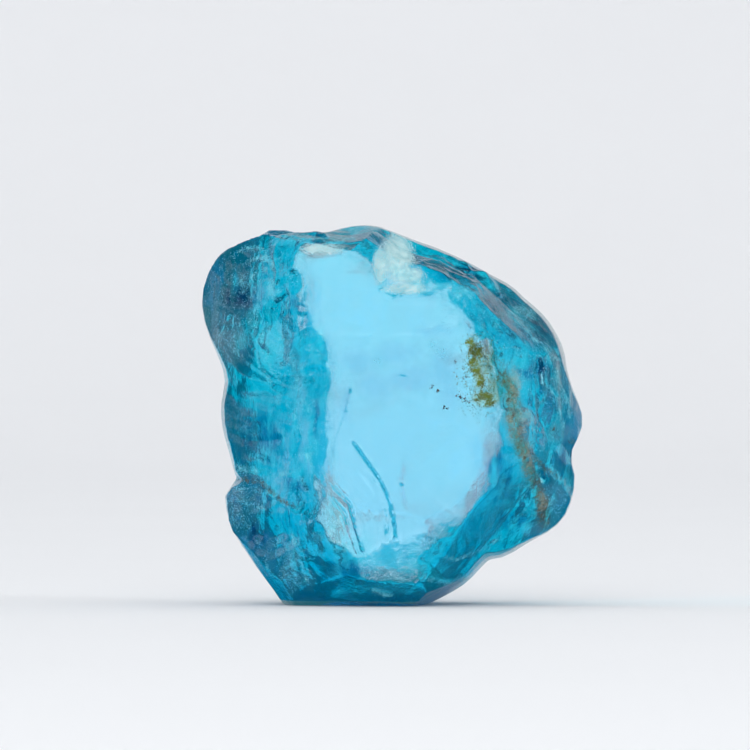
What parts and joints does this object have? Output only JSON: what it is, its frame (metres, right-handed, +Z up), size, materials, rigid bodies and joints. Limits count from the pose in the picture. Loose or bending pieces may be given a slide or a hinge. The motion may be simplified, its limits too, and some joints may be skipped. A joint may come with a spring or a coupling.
{
  "type": "rough apatite crystal fragment",
  "caption": "Rough fragment of clear blue apatite: a broad glassy break, stepped and scooped edges, a rusty seam, and a flat broken foot that it stands on.",
  "frame": {"origin": "centre of the bounding box at the level of the flat foot", "axes": "+Z up, -Y towards the viewer of the broad glassy break, +X to that viewer's right"},
  "size_m": [0.008, 0.0056, 0.008],
  "materials": {
    "apatite": "clear blue crystal, glassy on the fresh breaks and frosted along the crumbled edges",
    "iron_stain": "thin rusty film and specks lodged in the seam"
  },
  "bodies": {
    "root": {"apatite_crystal": "apatite"}
  },
  "joints": []
}
